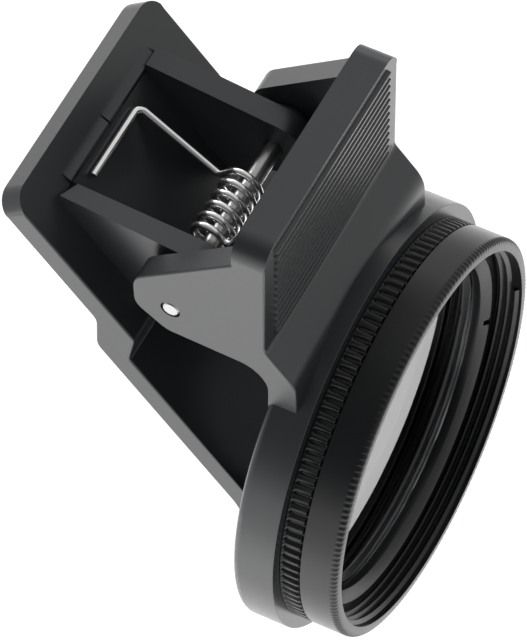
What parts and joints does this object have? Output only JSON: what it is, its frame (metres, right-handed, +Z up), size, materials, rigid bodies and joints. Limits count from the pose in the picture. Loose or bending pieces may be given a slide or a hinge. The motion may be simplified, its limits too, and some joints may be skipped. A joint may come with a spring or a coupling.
{
  "type": "clip-on phone filter",
  "caption": "Spring clip for a phone or tablet whose collar carries a screw-in round glass filter with a rotating front ring.",
  "frame": {"origin": "on the filter's axis, in the plane where the phone is gripped (the front pad's rear face)", "axes": "+X along the hinge pin, +Y along the filter's axis from the filter towards the phone, +Z up to the levers"},
  "size_m": [0.0416, 0.0363, 0.059],
  "materials": {
    "clip_plastic": "black moulded plastic, satin",
    "pin_steel": "bright steel pin",
    "spring_wire": "bright plated spring wire",
    "black_aluminium": "black anodised, satin",
    "filter_glass": "dark grey filter glass, polished",
    "pad_rubber": "black soft rubber"
  },
  "bodies": {
    "front": {"front_arm": "clip_plastic", "pivot_pin": "pin_steel", "torsion_spring": "spring_wire", "front_pad": "pad_rubber"},
    "rear": {"rear_arm": "clip_plastic", "rear_pad": "pad_rubber"},
    "filter_base": {"filter_base_ring": "black_aluminium", "snap_ring": "spring_wire"},
    "filter_front": {"filter_front_ring": "black_aluminium", "glass_retaining_ring": "black_aluminium", "filter_glass": "filter_glass"}
  },
  "joints": [
    {"name": "clamp_hinge", "type": "hinge", "parent": "front", "child": "rear", "pos_m": [0, 0.00885, 0.0247], "axis": [1, 0, 0], "range_deg": [0, 45], "stiffness_Nm_per_rad": 0.022, "springref_deg": -40.11, "deforming": ["torsion_spring"]},
    {"name": "filter_unscrew", "type": "slide", "parent": "front", "child": "filter_base", "axis": [0, -1, 0], "range_m": [0, 0.006]},
    {"name": "filter_turn", "type": "hinge", "parent": "filter_base", "child": "filter_front", "pos_m": [0, -0.0067, 0], "axis": [0, -1, 0], "continuous": true}
  ]
}
